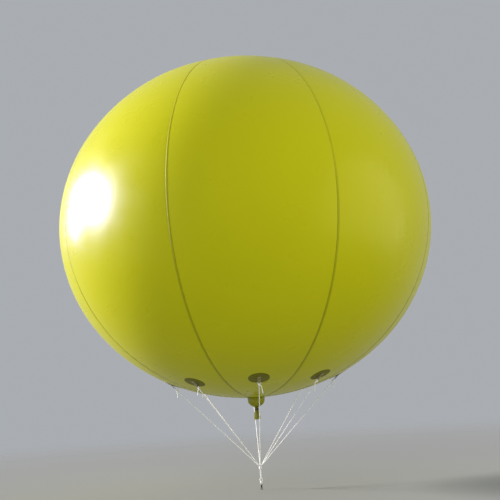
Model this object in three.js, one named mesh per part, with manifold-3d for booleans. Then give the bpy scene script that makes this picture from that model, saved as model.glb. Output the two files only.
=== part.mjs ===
// Round advertising balloon: a slightly flattened envelope welded from meridian gores, with a load
// patch on each gore, a bridle of taut lines, a tied inflation neck and a tether swivel.
// Millimetres, +Z up along the axis of the envelope, origin at the envelope's centre.
// The first gore faces -Y, and the others follow counter-clockwise as seen from above.
import * as THREE from "three";
import { mergeVertices } from "three/addons/utils/BufferGeometryUtils.js";
import Module from "manifold-3d";

// Envelope
const EQUATOR_RADIUS = 1500;
const POLE_HEIGHT = 1378;
const GORE_COUNT = 8;
const GORE_BULGE = 6;
const WALL = 10;
const POLE_HOLE_RADIUS = 62;
const GORE_COLUMNS = 6;
const BELT_ROWS = 18;
const POLAR_ROWS = 4;

// What lies on the envelope
const FIT_GAP = 0.3;
const SEAM_WIDTH = 14;
const SEAM_THICKNESS = 2;
const SEAM_END_GAP = 2;
const TOP_CAP_RADIUS = 150;
const FLANGE_RADIUS = 74;
const FLANGE_THICKNESS = 4;
const SHEET_THICKNESS = 3;
const DISC_SEGMENTS = 32;

// Load patches and their tabs
const PATCH_ANGLE = THREE.MathUtils.degToRad(26.5);
const PATCH_RADIUS = 80;
const PATCH_THICKNESS = 3;
const TAB_HALF_BASE = 25;
const TAB_WIDTH = 28;
const TAB_REACH = 45;
const TAB_TIP_HALF = 4;

// Bridle
const LINE_RADIUS = 3;
const LINE_SIDES = 8;
const FOCUS_Z = -1922;
const JUNCTION_FACE_RHO = 9.5;
const JUNCTION_HALF_FACE = 4.5;
const JUNCTION_WAIST_Z = -1926;
const STRAND_RADIUS = 7;
const STRAND_TOP_Z = -1937;
const LOOP_CENTRE_Z = -2018;
const LOOP_RADIUS = 10;
const LOOP_CORD_RADIUS = 4;
const KNOT_RADIUS = 10;
const KNOT_HEIGHT = 19;

// Inflation neck: radius and height of each level, from the flange down to the loose end
const NECK_SEGMENTS = 24;
const WAIST_RADIUS = 12;
const BOWL_LEVELS = [
  { radius: 68, drop: 0 },
  { radius: 67, drop: 15 },
  { radius: 64, drop: 30 },
  { radius: 57, drop: 42 },
  { radius: 46, drop: 52 },
  { radius: 32, drop: 61 },
  { radius: 19, drop: 69 },
  { radius: WAIST_RADIUS, drop: 76 },
  { radius: WAIST_RADIUS, drop: 88 },
];
const TAIL_LEVELS = [
  { radius: WAIST_RADIUS, drop: 0 },
  { radius: WAIST_RADIUS, drop: 12 },
  { radius: 16, drop: 22 },
  { radius: 20, drop: 42 },
  { radius: 22, drop: 80 },
];
const TIE_RADIUS = 16;
const TIE_HEIGHT = 22;
const TIE_ROUNDING = 2;

// Tether swivel
const EYE_RADIUS = 5.2;
const EYE_WIRE_RADIUS = 1.8;
const LINK_RADIUS = 4;
const LINK_CORD_RADIUS = 1.5;
const BARREL_RADIUS = 6;
const BARREL_LENGTH = 12.5;
const BORE_RADIUS = 2.4;
const BORE_DEPTH = 8;
const PIN_RADIUS = 2.05;
const PIN_LENGTH = 7.5;
const COLLAR_RADIUS = 5;
const COLLAR_HEIGHT = 2;
const RUNNING_GAP = 0.5;
const TETHER_EYE_OUTER = 9;
const TETHER_EYE_INNER = 5;
const TETHER_EYE_THICKNESS = 4;
const ROUND_SEGMENTS = 24;

const HALF_GORE = Math.PI / GORE_COUNT;

const wasm = await Module();
wasm.setup();

// Materials
function material(name, color, roughness, metalness) {
  return new THREE.MeshStandardMaterial({ name, color, roughness, metalness });
}

const film = material("film", 0xb4b41e, 0.3, 0);
const seamTape = material("seam_tape", 0x9a9c18, 0.35, 0);
const patchSheet = material("patch_sheet", 0x67641c, 0.45, 0);
const webbing = material("webbing", 0xa09a55, 0.8, 0);
const cord = material("cord", 0xe6e8ea, 0.85, 0);
const tieCord = material("tie_cord", 0x3c4a1c, 0.85, 0);
const blackMetal = material("black_metal", 0x1c1e26, 0.35, 0.8);

// Geometry helpers

// Only positions, with shared vertices merged, so that the surface is closed.
function closed(geometry) {
  const bare = geometry.clone();
  bare.deleteAttribute("normal");
  bare.deleteAttribute("uv");
  return mergeVertices(bare, 1e-4);
}

function unite(...geometries) {
  const solids = geometries.map((geometry) => {
    const merged = closed(geometry);
    return new wasm.Manifold(
      new wasm.Mesh({
        numProp: 3,
        vertProperties: new Float32Array(merged.attributes.position.array),
        triVerts: new Uint32Array(merged.index.array),
      }),
    );
  });
  const joined = solids.reduce((whole, solid) => whole.add(solid)).getMesh();
  const geometry = new THREE.BufferGeometry();
  geometry.setAttribute("position", new THREE.BufferAttribute(joined.vertProperties, 3));
  geometry.setIndex(new THREE.BufferAttribute(joined.triVerts, 1));
  return geometry;
}

function mapPoints(geometry, place) {
  const position = geometry.attributes.position;
  const point = new THREE.Vector3();
  for (let i = 0; i < position.count; i += 1) {
    const placed = place(point.fromBufferAttribute(position, i));
    position.setXYZ(i, placed.x, placed.y, placed.z);
  }
  return geometry;
}

// A solid of revolution about Z from [radius, height] pairs that run from the top axis point down.
function turned(profile, segments) {
  const points = profile.map(([radius, height]) => new THREE.Vector2(radius, height));
  return new THREE.LatheGeometry(points.reverse(), segments).rotateX(Math.PI / 2);
}

// The film's outer face: polar angle from the bottom pole, azimuth from -Y towards +X, and the
// height above the face. Each gore stands out a little between its two seams.
function onFilm(polar, azimuth, lift) {
  const turn = Math.round(azimuth / (2 * HALF_GORE)) * 2 * HALF_GORE;
  const across = (azimuth - turn) / HALF_GORE;
  const bulge = GORE_BULGE * (1 - across * across) * Math.sin(polar);
  const outwards = new THREE.Vector3(
    Math.sin(polar) * Math.sin(azimuth) / EQUATOR_RADIUS,
    -Math.sin(polar) * Math.cos(azimuth) / EQUATOR_RADIUS,
    -Math.cos(polar) / POLE_HEIGHT,
  ).normalize();
  return new THREE.Vector3(
    EQUATOR_RADIUS * Math.sin(polar) * Math.sin(azimuth),
    -EQUATOR_RADIUS * Math.sin(polar) * Math.cos(azimuth),
    -POLE_HEIGHT * Math.cos(polar),
  ).addScaledVector(outwards, bulge + lift);
}

// Polar angle at which the envelope has this radius, near the bottom pole.
function polarAt(radius) {
  return Math.asin(radius / EQUATOR_RADIUS);
}

// The frame that touches the envelope at a polar angle on the first gore's centre line:
// x across the gore, y up the gore, z outwards.
function touchingFrame(polar, lift) {
  const outwards = onFilm(polar, 0, 1).sub(onFilm(polar, 0, 0));
  const across = new THREE.Vector3(1, 0, 0);
  const along = new THREE.Vector3().crossVectors(outwards, across);
  const frame = new THREE.Matrix4().makeBasis(across, along, outwards);
  return frame.setPosition(onFilm(polar, 0, lift));
}

// Lays a flat disc, modelled about the frame's origin with its thickness along z, on the film.
function drape(geometry, polar) {
  const frame = touchingFrame(polar, 0);
  const scale = new THREE.Vector3(1 / EQUATOR_RADIUS, 1 / EQUATOR_RADIUS, 1 / POLE_HEIGHT);
  const outwards = new THREE.Vector3().setFromMatrixColumn(frame, 2).multiply(scale);
  return mapPoints(geometry, ({ x, y, z }) => {
    const start = new THREE.Vector3(x, y, 0).applyMatrix4(frame).multiply(scale);
    const half = start.dot(outwards) / outwards.lengthSq();
    const rest = (start.lengthSq() - 1) / outwards.lengthSq();
    const depth = half - Math.sqrt(half * half - rest);
    const foot = start.addScaledVector(outwards, -depth);
    const rho = Math.hypot(foot.x, foot.y);
    return onFilm(Math.atan2(rho, -foot.z), rho > 0 ? Math.atan2(foot.x, -foot.y) : 0, z);
  });
}

// A round sheet laid on the film, from its lower to its upper height above it.
function sheetDisc(polar, radius, low, high, rings) {
  const steps = Array.from({ length: rings + 1 }, (_, i) => (radius * i) / rings);
  const upper = steps.map((r) => [r, high]);
  const lower = steps.map((r) => [r, low]).reverse();
  return drape(turned([...upper, ...lower], DISC_SEGMENTS), polar);
}

// A strip of the envelope between two azimuths, which may depend on the polar angle.
function filmStrip(rows, columns, halfAngle, low, high, middle) {
  const box = new THREE.BoxGeometry(1, 1, 1, columns, rows.length - 1, 1);
  return mapPoints(box, ({ x, y, z }) => {
    const polar = rows[Math.round((y + 0.5) * (rows.length - 1))];
    const azimuth = middle + 2 * x * halfAngle(polar);
    return onFilm(polar, azimuth, z < 0 ? low : high);
  });
}

function evenSteps(from, to, count) {
  return Array.from({ length: count }, (_, i) => from + ((to - from) * i) / count);
}

// Envelope

const holeAngle = polarAt(POLE_HOLE_RADIUS);
const goreRows = [
  ...evenSteps(holeAngle, PATCH_ANGLE, POLAR_ROWS),
  ...evenSteps(PATCH_ANGLE, Math.PI - PATCH_ANGLE, BELT_ROWS),
  ...evenSteps(Math.PI - PATCH_ANGLE, Math.PI - holeAngle, POLAR_ROWS),
  Math.PI - holeAngle,
];

function gore() {
  const halfAngle = (polar) => HALF_GORE - FIT_GAP / 2 / (EQUATOR_RADIUS * Math.sin(polar));
  return filmStrip(goreRows, GORE_COLUMNS, halfAngle, -WALL, 0, 0);
}

// The seam strip follows the gores' own rows, so that it lies evenly on them.
function seam() {
  const first = polarAt(FLANGE_RADIUS + SEAM_END_GAP);
  const last = Math.PI - polarAt(TOP_CAP_RADIUS + SEAM_END_GAP);
  const between = goreRows.filter((polar) => polar > first && polar < last);
  const halfAngle = (polar) => SEAM_WIDTH / 2 / (EQUATOR_RADIUS * Math.sin(polar));
  const rows = [first, ...between, last];
  return filmStrip(rows, 2, halfAngle, FIT_GAP, FIT_GAP + SEAM_THICKNESS, HALF_GORE);
}

function topCap() {
  return sheetDisc(Math.PI, TOP_CAP_RADIUS, FIT_GAP, FIT_GAP + SHEET_THICKNESS, 4);
}

// Neck

const flangeBottom = -POLE_HEIGHT - FIT_GAP - FLANGE_THICKNESS;
const bowlTop = flangeBottom - FIT_GAP;
const bowlBottom = bowlTop - BOWL_LEVELS.at(-1).drop;
const tailTop = bowlBottom - FIT_GAP;

function neckFlange() {
  return sheetDisc(0, FLANGE_RADIUS, FIT_GAP, FIT_GAP + FLANGE_THICKNESS, 2);
}

function turnedLevels(levels, top) {
  const side = levels.map(({ radius, drop }) => [radius, top - drop]);
  return turned([[0, top], ...side, [0, top - levels.at(-1).drop]], NECK_SEGMENTS);
}

// The tie cord's turns, as one sleeve round the waist where bowl and tail meet.
function neckTie() {
  const inner = WAIST_RADIUS + FIT_GAP;
  const high = bowlBottom + TIE_HEIGHT / 2;
  const low = bowlBottom - TIE_HEIGHT / 2;
  const profile = [
    [inner, high],
    [TIE_RADIUS - TIE_ROUNDING, high],
    [TIE_RADIUS, high - TIE_ROUNDING],
    [TIE_RADIUS, low + TIE_ROUNDING],
    [TIE_RADIUS - TIE_ROUNDING, low],
    [inner, low],
    [inner, high],
  ];
  return turned(profile, NECK_SEGMENTS);
}

// Load patch, tab and line of the first gore

const patchTop = FIT_GAP + PATCH_THICKNESS;
const tabFrame = touchingFrame(PATCH_ANGLE, patchTop + FIT_GAP);
const tabFoot = new THREE.Vector3().setFromMatrixPosition(tabFrame);
const focus = new THREE.Vector3(0, 0, FOCUS_Z);
const pull = focus.clone().sub(tabFoot).normalize();

function loadPatch() {
  return sheetDisc(PATCH_ANGLE, PATCH_RADIUS, FIT_GAP, patchTop, 2);
}

// The tab is a folded strap, sewn down at its base, whose blunt tip points along the line's pull.
function patchTab() {
  const inverse = tabFrame.clone().invert();
  const inwards = pull.clone().transformDirection(inverse);
  const tip = new THREE.Vector2(inwards.y, inwards.z).multiplyScalar(TAB_REACH);
  const side = new THREE.Vector2(-inwards.z, inwards.y).multiplyScalar(TAB_TIP_HALF);
  const outline = new THREE.Shape([
    new THREE.Vector2(-TAB_HALF_BASE, 0),
    new THREE.Vector2(TAB_HALF_BASE, 0),
    tip.clone().sub(side),
    tip.clone().add(side),
  ]);
  const strap = new THREE.ExtrudeGeometry(outline, { depth: TAB_WIDTH, bevelEnabled: false });
  const upright = new THREE.Matrix4().makeBasis(
    new THREE.Vector3(0, 1, 0),
    new THREE.Vector3(0, 0, 1),
    new THREE.Vector3(1, 0, 0),
  );
  return strap.translate(0, 0, -TAB_WIDTH / 2).applyMatrix4(upright).applyMatrix4(tabFrame);
}

function bridleLine() {
  const whole = focus.distanceTo(tabFoot);
  const start = TAB_REACH + FIT_GAP;
  const end = whole - JUNCTION_FACE_RHO / Math.abs(pull.y);
  const tube = new THREE.CylinderGeometry(LINE_RADIUS, LINE_RADIUS, end - start, LINE_SIDES);
  const turn = new THREE.Quaternion().setFromUnitVectors(new THREE.Vector3(0, 1, 0), pull);
  const middle = tabFoot.clone().addScaledVector(pull, (start + end) / 2);
  return tube.applyQuaternion(turn).translate(middle.x, middle.y, middle.z);
}

// Bridle's lower end

// A whipped knot with one face square to each line.
function junctionKnot() {
  const rho = Math.abs(pull.y);
  const drop = Math.abs(pull.z);
  const faceRho = JUNCTION_FACE_RHO - FIT_GAP * rho;
  const faceZ = FOCUS_Z + (JUNCTION_FACE_RHO * drop) / rho - FIT_GAP * drop;
  const corner = (radius) => radius / Math.cos(HALF_GORE);
  const inner = [faceRho - JUNCTION_HALF_FACE * drop, faceZ + JUNCTION_HALF_FACE * rho];
  const outer = [faceRho + JUNCTION_HALF_FACE * drop, faceZ - JUNCTION_HALF_FACE * rho];
  const bottom = STRAND_TOP_Z + FIT_GAP;
  const profile = [
    [0, inner[1]],
    [corner(inner[0]), inner[1]],
    [corner(outer[0]), outer[1]],
    [corner(outer[0]), JUNCTION_WAIST_Z],
    [corner(STRAND_RADIUS), bottom],
    [0, bottom],
  ];
  return turned(profile, GORE_COUNT).rotateZ(HALF_GORE);
}

const loopHalf = LOOP_RADIUS + LOOP_CORD_RADIUS;
const strandBottom = LOOP_CENTRE_Z + loopHalf + FIT_GAP;
const knotTop = LOOP_CENTRE_Z - loopHalf - FIT_GAP;
const knotBottom = knotTop - KNOT_HEIGHT;

function strand() {
  const length = STRAND_TOP_Z - strandBottom;
  return new THREE.CylinderGeometry(STRAND_RADIUS, STRAND_RADIUS, length, 12)
    .rotateX(Math.PI / 2)
    .translate(0, 0, strandBottom + length / 2);
}

function strandLoop() {
  return new THREE.TorusGeometry(LOOP_RADIUS, LOOP_CORD_RADIUS, 10, ROUND_SEGMENTS)
    .rotateX(Math.PI / 2)
    .translate(0, 0, LOOP_CENTRE_Z);
}

// Swivel

const eyeTop = knotBottom - RUNNING_GAP;
const eyeCentre = eyeTop - EYE_RADIUS - EYE_WIRE_RADIUS;
const barrelTop = eyeCentre - EYE_RADIUS;
const barrelBottom = barrelTop - BARREL_LENGTH;
const collarTop = barrelBottom - RUNNING_GAP;
const tetherEyeCentre = collarTop - COLLAR_HEIGHT - TETHER_EYE_OUTER + 1;

// The knot ends in a small link of cord that passes through the swivel's upper eye.
function endKnot() {
  const knot = new THREE.SphereGeometry(1, 16, 10)
    .rotateX(Math.PI / 2)
    .scale(KNOT_RADIUS, KNOT_RADIUS, KNOT_HEIGHT / 2)
    .translate(0, 0, (knotTop + knotBottom) / 2);
  const underWire = eyeCentre + EYE_RADIUS - EYE_WIRE_RADIUS - FIT_GAP;
  const linkCentre = underWire - LINK_CORD_RADIUS + LINK_RADIUS;
  const link = new THREE.TorusGeometry(LINK_RADIUS, LINK_CORD_RADIUS, 8, 16)
    .rotateY(Math.PI / 2)
    .translate(0, 0, linkCentre);
  return unite(knot, link);
}

function swivelBarrel() {
  const eye = new THREE.TorusGeometry(EYE_RADIUS, EYE_WIRE_RADIUS, 8, ROUND_SEGMENTS)
    .rotateX(Math.PI / 2)
    .translate(0, 0, eyeCentre);
  const boreTop = barrelBottom + BORE_DEPTH;
  const barrel = turned(
    [
      [0, barrelTop],
      [BARREL_RADIUS - 1, barrelTop],
      [BARREL_RADIUS, barrelTop - 1],
      [BARREL_RADIUS, barrelBottom],
      [BORE_RADIUS, barrelBottom],
      [BORE_RADIUS, boreTop],
      [0, boreTop],
    ],
    ROUND_SEGMENTS,
  );
  return unite(eye, barrel);
}

// The turning half: a pin in the barrel, a collar and a flat forged eye for the tether.
function tetherEye() {
  const ring = new THREE.Shape().absarc(0, 0, TETHER_EYE_OUTER, 0, 2 * Math.PI);
  ring.holes.push(new THREE.Path().absarc(0, 0, TETHER_EYE_INNER, 0, 2 * Math.PI));
  const plate = new THREE.ExtrudeGeometry(ring, {
    depth: TETHER_EYE_THICKNESS,
    bevelEnabled: false,
    curveSegments: ROUND_SEGMENTS,
  })
    .translate(0, 0, -TETHER_EYE_THICKNESS / 2)
    .rotateX(Math.PI / 2)
    .translate(0, 0, tetherEyeCentre);
  const stem = turned(
    [
      [0, collarTop - RUNNING_GAP + PIN_LENGTH],
      [PIN_RADIUS, collarTop - RUNNING_GAP + PIN_LENGTH],
      [PIN_RADIUS, collarTop],
      [COLLAR_RADIUS, collarTop],
      [COLLAR_RADIUS, collarTop - COLLAR_HEIGHT],
      [0, collarTop - COLLAR_HEIGHT],
    ],
    ROUND_SEGMENTS,
  );
  return unite(plate, stem);
}

// Assembly

function mesh(name, geometry, surface) {
  const shape = closed(geometry);
  shape.computeVertexNormals();
  const made = new THREE.Mesh(shape, surface);
  made.name = name;
  return made;
}

// The pieces that come once for each gore, modelled on the first one and turned about the axis.
const REPEATED = [
  { name: "gore", geometry: gore(), surface: film },
  { name: "seam", geometry: seam(), surface: seamTape },
  { name: "load_patch", geometry: loadPatch(), surface: patchSheet },
  { name: "patch_tab", geometry: patchTab(), surface: webbing },
  { name: "bridle_line", geometry: bridleLine(), surface: cord },
];

// The pieces on the axis, from the top down.
const ON_AXIS = [
  { name: "top_cap", geometry: topCap(), surface: film },
  { name: "neck_flange", geometry: neckFlange(), surface: patchSheet },
  { name: "neck_bowl", geometry: turnedLevels(BOWL_LEVELS, bowlTop), surface: patchSheet },
  { name: "neck_tie", geometry: neckTie(), surface: tieCord },
  { name: "neck_tail", geometry: turnedLevels(TAIL_LEVELS, tailTop), surface: patchSheet },
  { name: "bridle_knot", geometry: junctionKnot(), surface: cord },
  { name: "bridle_strand", geometry: strand(), surface: cord },
  { name: "strand_loop", geometry: strandLoop(), surface: cord },
  { name: "end_knot", geometry: endKnot(), surface: cord },
  { name: "swivel_barrel", geometry: swivelBarrel(), surface: blackMetal },
  { name: "tether_eye", geometry: tetherEye(), surface: blackMetal },
];

const balloon = new THREE.Group();
for (let k = 0; k < GORE_COUNT; k += 1) {
  const station = new THREE.Group();
  station.rotation.z = 2 * HALF_GORE * k;
  for (const { name, geometry, surface } of REPEATED) {
    station.add(mesh(`${name}_${k + 1}`, geometry, surface));
  }
  balloon.add(station);
}
for (const { name, geometry, surface } of ON_AXIS) {
  balloon.add(mesh(name, geometry, surface));
}

export default balloon;
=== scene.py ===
import math

import bmesh
import bpy
import numpy as np
from mathutils import Matrix, Vector


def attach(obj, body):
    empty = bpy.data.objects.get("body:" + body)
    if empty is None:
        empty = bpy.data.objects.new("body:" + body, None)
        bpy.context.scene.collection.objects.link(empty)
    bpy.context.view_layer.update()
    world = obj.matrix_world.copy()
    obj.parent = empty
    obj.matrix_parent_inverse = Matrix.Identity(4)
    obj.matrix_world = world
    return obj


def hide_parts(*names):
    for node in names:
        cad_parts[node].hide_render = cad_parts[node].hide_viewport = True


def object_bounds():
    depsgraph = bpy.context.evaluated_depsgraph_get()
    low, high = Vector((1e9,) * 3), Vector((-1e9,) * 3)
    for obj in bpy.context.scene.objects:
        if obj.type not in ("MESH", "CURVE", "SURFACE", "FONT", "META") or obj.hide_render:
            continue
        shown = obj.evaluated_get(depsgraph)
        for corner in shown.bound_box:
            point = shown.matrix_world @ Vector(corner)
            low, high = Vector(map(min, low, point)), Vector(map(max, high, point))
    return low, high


# Round advertising balloon. Metres, +Z up along the axis of the envelope, origin at the
# envelope's centre. The first gore faces -Y. Small profiles and the tab's coordinates are in
# millimetres, and their comments say so.

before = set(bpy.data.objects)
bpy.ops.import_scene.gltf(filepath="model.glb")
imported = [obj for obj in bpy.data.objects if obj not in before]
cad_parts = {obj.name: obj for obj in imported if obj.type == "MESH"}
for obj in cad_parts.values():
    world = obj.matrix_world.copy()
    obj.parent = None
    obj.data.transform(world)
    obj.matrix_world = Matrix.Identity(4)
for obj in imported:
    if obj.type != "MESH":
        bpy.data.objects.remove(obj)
CAD_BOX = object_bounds()

# Envelope
EQUATOR_RADIUS = 1.5
POLE_HEIGHT = 1.378
ENVELOPE_SIZE = np.array([EQUATOR_RADIUS, EQUATOR_RADIUS, POLE_HEIGHT])
GORE_COUNT = 8
GORE_ANGLE = 2 * math.pi / GORE_COUNT
GORE_BULGE = 0.006
POLE_HOLE_RADIUS = 0.062
TOP_CAP_RADIUS = 0.15
FLANGE_RADIUS = 0.074
SEAM_END_GAP = 0.002

# Load patches, lines and what hangs below
PATCH_ANGLE = math.radians(26.5)
PATCH_TOP = 0.0036
FOCUS_Z = -1.922
CORD_RADIUS = 0.003
NECK_TOP = -1.3826
TIE_Z = -1.4706
BARREL_EYE_Z = -2.0588
TETHER_EYE_Z = -2.087

rng = np.random.default_rng(7)


# Camera

CAMERA_PLACE = Vector((-0.3226, -7.1514, -1.3332))
CAMERA_AZIMUTH = math.radians(2.785)
CAMERA_ELEVATION = math.radians(9.146)
CAMERA_ROLL = math.radians(-3.58)
CAMERA_SENSOR = 36
CAMERA_LENS = 63.44
CAMERA_REACH = 200


def make_camera():
    sin_a, cos_a = math.sin(CAMERA_AZIMUTH), math.cos(CAMERA_AZIMUTH)
    sin_e, cos_e = math.sin(CAMERA_ELEVATION), math.cos(CAMERA_ELEVATION)
    forward = Vector((sin_a * cos_e, cos_a * cos_e, sin_e))
    level_right = Vector((cos_a, -sin_a, 0))
    level_up = level_right.cross(forward)
    right = level_right * math.cos(CAMERA_ROLL) + level_up * math.sin(CAMERA_ROLL)
    up = right.cross(forward)
    turn = Matrix((right, up, -forward)).transposed().to_4x4()
    data = bpy.data.cameras.new("camera")
    data.sensor_width = CAMERA_SENSOR
    data.lens = CAMERA_LENS
    data.clip_end = CAMERA_REACH
    camera = bpy.data.objects.new("camera", data)
    camera.matrix_world = Matrix.Translation(CAMERA_PLACE) @ turn
    bpy.context.scene.collection.objects.link(camera)
    bpy.context.scene.camera = camera


make_camera()


# Node helpers


class Surface:
    """A material with one Principled shader, and short calls for the nodes that feed it."""

    def __init__(self, name, roughness=0.5, **settings):
        self.material = bpy.data.materials.new(name)
        self.material.use_nodes = True
        self.tree = self.material.node_tree
        self.shader = self.tree.nodes["Principled BSDF"]
        self.shader.inputs["Roughness"].default_value = roughness
        for socket, value in settings.items():
            self.shader.inputs[socket.replace("_", " ")].default_value = value
        self.place = self.tree.nodes.new("ShaderNodeTexCoord").outputs["Object"]

    def node(self, kind, **inputs):
        made = self.tree.nodes.new(kind)
        for name, value in inputs.items():
            self.feed(made.inputs[name.replace("_", " ")], value)
        return made

    def feed(self, socket, value):
        if isinstance(value, bpy.types.NodeSocket):
            self.tree.links.new(value, socket)
        else:
            socket.default_value = value

    def flat(self):
        """The piece's own flat coordinates, as its mesh function gives them."""
        uv = self.node("ShaderNodeUVMap")
        uv.uv_map = "flat"
        split = self.node("ShaderNodeSeparateXYZ", Vector=uv.outputs["UV"])
        return split.outputs["X"], split.outputs["Y"]

    def polar(self):
        """Distance from the middle of a round sheet, and angle round it."""
        x, y = self.flat()
        squares = [self.math("MULTIPLY", side, side) for side in (x, y)]
        return self.math("SQRT", self.math("ADD", *squares)), self.math("ARCTAN2", y, x)

    def noise(self, scale, detail=2.0, roughness=0.5):
        made = self.node(
            "ShaderNodeTexNoise",
            Vector=self.place, Scale=scale, Detail=detail, Roughness=roughness,
        )
        return made.outputs["Fac"]

    def mottle(self, scale, detail, dark, light):
        """A colour that wanders between two."""
        return self.blend(self.noise(scale, detail), dark, light)

    def remap(self, value, low, high, to_low=0.0, to_high=1.0):
        made = self.node(
            "ShaderNodeMapRange",
            Value=value, From_Min=low, From_Max=high, To_Min=to_low, To_Max=to_high,
        )
        made.interpolation_type = "SMOOTHSTEP"
        return made.outputs["Result"]

    def math(self, operation, a, b=0.0):
        made = self.tree.nodes.new("ShaderNodeMath")
        made.operation = operation
        self.feed(made.inputs[0], a)
        self.feed(made.inputs[1], b)
        return made.outputs["Value"]

    def wave(self, value, rate):
        return self.math("SINE", self.math("MULTIPLY", value, rate))

    def blend(self, factor, a, b):
        made = self.tree.nodes.new("ShaderNodeMix")
        made.data_type = "RGBA"
        self.feed(made.inputs["Factor"], factor)
        self.feed(made.inputs["A"], a)
        self.feed(made.inputs["B"], b)
        return made.outputs["Result"]

    def braid(self, count=8, pitch=0.0044):
        """Height from 0 to 1 of a cord's strands, which cross both ways round it."""
        turn, along = self.flat()
        turn = self.math("MULTIPLY", turn, count * math.pi)
        along = self.math("MULTIPLY", along, math.pi / pitch)
        ways = [self.math(way, turn, along) for way in ("ADD", "SUBTRACT")]
        left, right = (self.math("ABSOLUTE", self.math("SINE", way)) for way in ways)
        return self.math("MULTIPLY", left, right)

    def color(self, value):
        self.feed(self.shader.inputs["Base Color"], value)

    def roughness(self, value):
        self.feed(self.shader.inputs["Roughness"], value)

    def bump(self, *layers):
        """Each layer is a height from 0 to 1 and its depth in metres."""
        normal = None
        for height, depth in layers:
            made = self.node("ShaderNodeBump", Height=height, Strength=1.0, Distance=depth)
            if normal:
                self.feed(made.inputs["Normal"], normal)
            normal = made.outputs["Normal"]
        self.feed(self.shader.inputs["Normal"], normal)


# Stage and light

FLOOR_Z = CAD_BOX[0].z - 0.002
FLOOR_RADIUS = 14.0
FLOOR_SEGMENTS = 96
FLOOR_FADE = (4.5, 12.0)
FLOOR_COLOR = (0.31, 0.32, 0.345, 1)
BACKDROP = (0.40, 0.42, 0.445, 1)


def make_floor():
    """A round floor that fades into the backdrop and can't be seen from below."""
    mesh = bpy.data.meshes.new("floor")
    shape = bmesh.new()
    bmesh.ops.create_circle(shape, cap_ends=True, segments=FLOOR_SEGMENTS, radius=FLOOR_RADIUS)
    shape.to_mesh(mesh)
    shape.free()
    floor = bpy.data.objects.new("floor", mesh)
    floor.location.z = FLOOR_Z
    bpy.context.scene.collection.objects.link(floor)
    paint = Surface("floor", roughness=0.9, Specular_IOR_Level=0.0, Base_Color=FLOOR_COLOR)
    length = paint.tree.nodes.new("ShaderNodeVectorMath")
    length.operation = "LENGTH"
    paint.feed(length.inputs[0], paint.place)
    fade = paint.remap(length.outputs["Value"], *FLOOR_FADE, 1.0, 0.0)
    under = paint.tree.nodes.new("ShaderNodeNewGeometry").outputs["Backfacing"]
    seen = paint.math("MULTIPLY", fade, paint.math("SUBTRACT", 1.0, under))
    paint.feed(paint.shader.inputs["Alpha"], seen)
    mesh.materials.append(paint.material)


def make_world():
    world = bpy.data.worlds.new("studio")
    world.use_nodes = True
    bpy.context.scene.world = world
    background = world.node_tree.nodes["Background"]
    background.inputs["Color"].default_value = BACKDROP


# Wide lamps: the way to each, its angle in degrees, and what it lights. The two that light
# the gloss alone give the envelope its broad highlight.
SOFT_LIGHTS = [
    {"name": "key", "towards": (-0.877, 0.340, 0.338), "angle": 12, "power": 6.4,
     "diffuse": True, "glossy": True},
    {"name": "front", "towards": (-0.36, -0.90, 0.22), "angle": 50, "power": 0.76,
     "diffuse": True, "glossy": False},
    {"name": "side", "towards": (0.95, -0.26, -0.02), "angle": 60, "power": 1.66,
     "diffuse": True, "glossy": True},
    {"name": "gloss_high", "towards": (-0.955, 0.120, 0.252), "angle": 20, "power": 4.3,
     "diffuse": False, "glossy": True},
    {"name": "gloss_low", "towards": (-0.80, 0.535, 0.246), "angle": 20, "power": 1.1,
     "diffuse": False, "glossy": True},
]
WARM_LIGHT = (1.0, 0.94, 0.80)
COOL_GLOSS = (1.0, 0.98, 2.6)


def make_lights():
    for row in SOFT_LIGHTS:
        data = bpy.data.lights.new(row["name"], "SUN")
        data.energy = row["power"]
        data.angle = math.radians(row["angle"])
        data.color = WARM_LIGHT if row["diffuse"] else COOL_GLOSS
        lamp = bpy.data.objects.new(row["name"], data)
        lamp.rotation_euler = Vector(row["towards"]).to_track_quat("Z", "Y").to_euler()
        lamp.visible_diffuse = row["diffuse"]
        lamp.visible_glossy = row["glossy"]
        bpy.context.scene.collection.objects.link(lamp)


make_floor()
make_world()
make_lights()
bpy.context.scene.view_settings.view_transform = "Standard"


# Mesh helpers


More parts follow.
